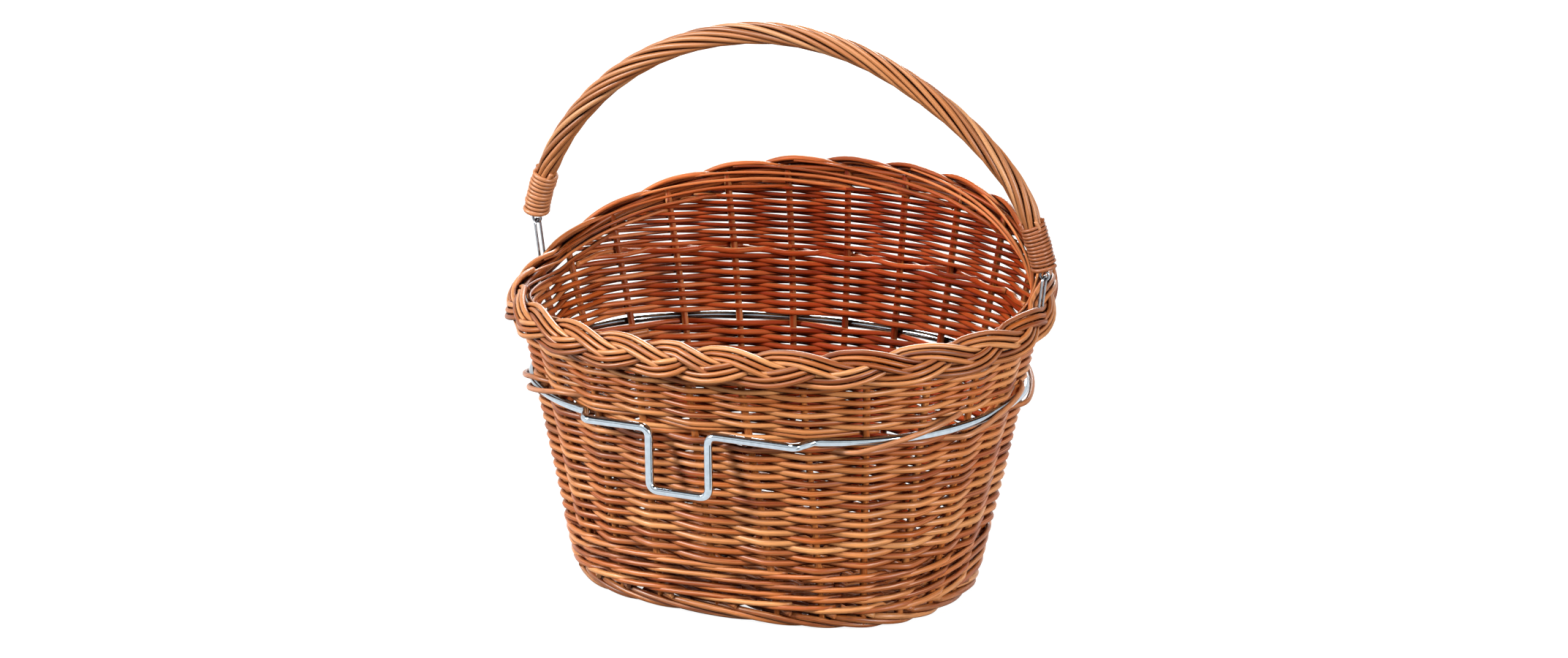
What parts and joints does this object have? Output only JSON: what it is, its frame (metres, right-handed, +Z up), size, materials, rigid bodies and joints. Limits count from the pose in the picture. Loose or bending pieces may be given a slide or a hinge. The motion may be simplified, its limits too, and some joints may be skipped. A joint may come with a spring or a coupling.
{
  "type": "bicycle basket",
  "caption": "Oval woven willow basket with a low flat rear, a high arched front, a plaited rim, a chromed wire frame with a handlebar hook, and a swinging roped bow handle.",
  "frame": {"origin": "middle of the basket's footprint, on the surface that it stands on", "axes": "+Z up, -Y towards the handlebar (the low flat rear with the wire hook), +X along the basket's width"},
  "size_m": [0.416, 0.3102, 0.405],
  "materials": {
    "woven_willow": "steamed buff willow rods, varnished, satin gloss",
    "border_willow": "steamed buff willow rods, varnished, glossy",
    "stake_willow": "thicker buff willow rods, varnished, satin",
    "handle_willow": "long buff willow rods twisted as a rope, varnished, glossy",
    "chromed_wire": "chromed steel wire, polished",
    "link_steel": "zinc plated steel wire"
  },
  "bodies": {
    "basket": {"upset_wale": "woven_willow", "side_weave_lower": "woven_willow", "side_weave_upper": "woven_willow", "wale_band": "woven_willow", "side_weave_raised": "woven_willow", "plait_border": "border_willow", "foot_border": "border_willow", "base_panel": "woven_willow", "stake_01": "stake_willow", "stake_02": "stake_willow", "stake_03": "stake_willow", "stake_04": "stake_willow", "stake_05": "stake_willow", "stake_06": "stake_willow", "stake_07": "stake_willow", "stake_08": "stake_willow", "stake_09": "stake_willow", "stake_10": "stake_willow", "stake_11": "stake_willow", "stake_12": "stake_willow", "stake_13": "stake_willow", "stake_14": "stake_willow", "stake_15": "stake_willow", "stake_16": "stake_willow", "stake_17": "stake_willow", "stake_18": "stake_willow", "stake_19": "stake_willow", "stake_20": "stake_willow", "stake_21": "stake_willow", "stake_22": "stake_willow", "stake_23": "stake_willow", "stake_24": "stake_willow", "base_stick_long_1": "stake_willow", "base_stick_long_2": "stake_willow", "base_stick_long_3": "stake_willow", "base_stick_cross_1": "stake_willow", "base_stick_cross_2": "stake_willow", "base_stick_cross_3": "stake_willow", "base_stick_cross_4": "stake_willow", "base_stick_cross_5": "stake_willow", "base_stick_cross_6": "stake_willow", "base_stick_cross_7": "stake_willow", "wire_lashing_left_1": "border_willow", "wire_lashing_left_2": "border_willow", "wire_lashing_right_1": "border_willow", "wire_lashing_right_2": "border_willow", "wire_lashing_right_3": "border_willow", "wire_frame": "chromed_wire"},
    "link_left": {"handle_link_left": "link_steel"},
    "link_right": {"handle_link_right": "link_steel"},
    "handle": {"handle_bow": "handle_willow", "handle_whipping_left": "handle_willow", "handle_whipping_right": "handle_willow", "handle_eye_left": "link_steel", "handle_eye_right": "link_steel"}
  },
  "joints": [
    {"name": "link_left_swing", "type": "hinge", "parent": "basket", "child": "link_left", "pos_m": [-0.194, 0.0222, 0.20196], "axis": [1, 0, 0], "range_deg": [-12, 12]},
    {"name": "link_right_swing", "type": "hinge", "parent": "basket", "child": "link_right", "pos_m": [0.194, 0.0222, 0.20196], "axis": [1, 0, 0], "range_deg": [-12, 12]},
    {"name": "handle_swing", "type": "hinge", "parent": "link_left", "child": "handle", "pos_m": [-0.1986, 0.0222, 0.23826], "axis": [1, 0, 0], "range_deg": [-55, 75]}
  ],
  "couplings": [
    {"joint": "link_right_swing", "follows": "link_left_swing", "ratio": 1}
  ]
}
